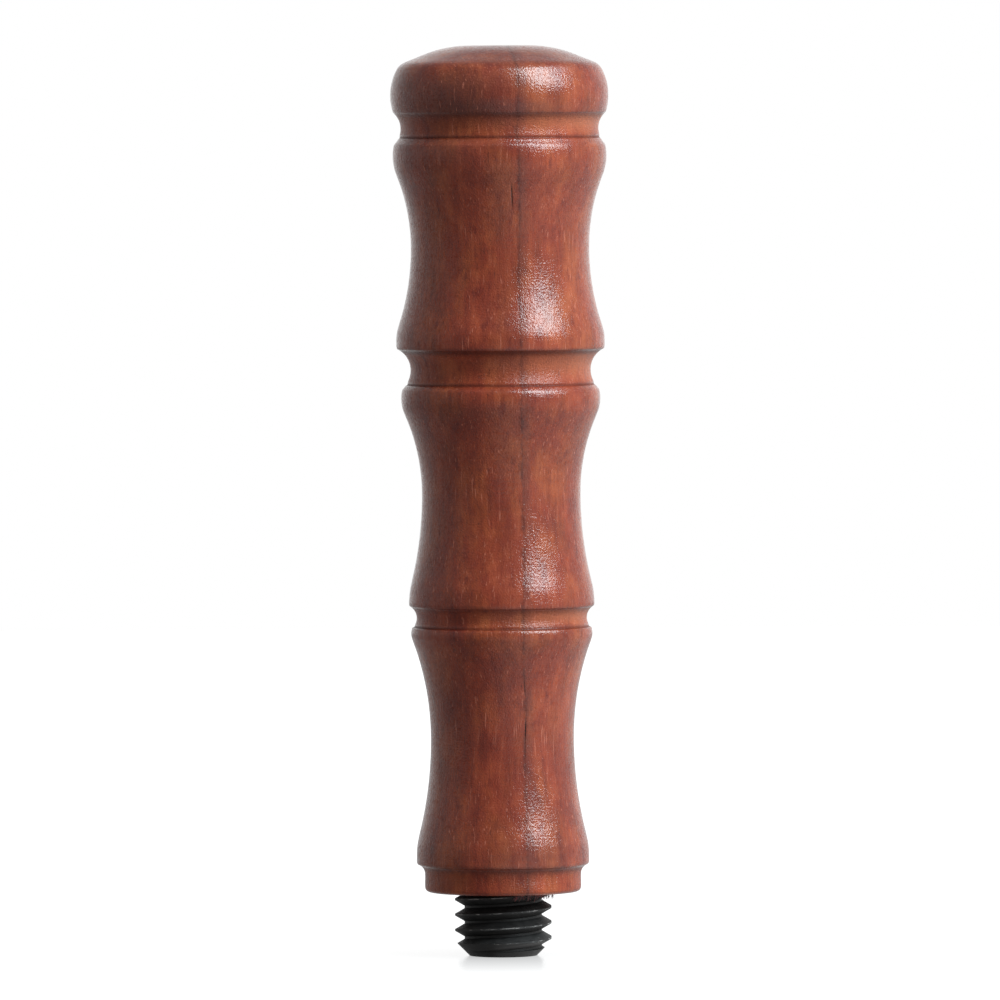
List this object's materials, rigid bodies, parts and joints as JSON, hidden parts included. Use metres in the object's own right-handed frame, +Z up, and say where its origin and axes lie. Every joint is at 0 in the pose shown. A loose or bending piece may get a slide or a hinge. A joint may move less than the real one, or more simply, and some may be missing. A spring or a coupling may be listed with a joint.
{
  "type": "turned wooden tool handle",
  "caption": "Turned hardwood handle in waisted bamboo-like segments with a domed head and a short M8 threaded stud in its foot that a small tool head screws onto.",
  "frame": {"origin": "middle of the stud's flat point, the lowest face, which the part stands on", "axes": "+Z up along the turning axis from the stud to the domed head; X and Y are fixed only by the thread's start"},
  "size_m": [0.0178, 0.0178, 0.0741],
  "materials": {
    "stained_wood": "red-brown stain under clear gloss lacquer",
    "black_oxide_steel": "black oxide, oiled, satin",
    "set_adhesive": "set adhesive stained by wood dust"
  },
  "bodies": {
    "root": {"turned_handle": "stained_wood", "threaded_stud": "black_oxide_steel", "thread_adhesive": "set_adhesive"}
  },
  "joints": []
}
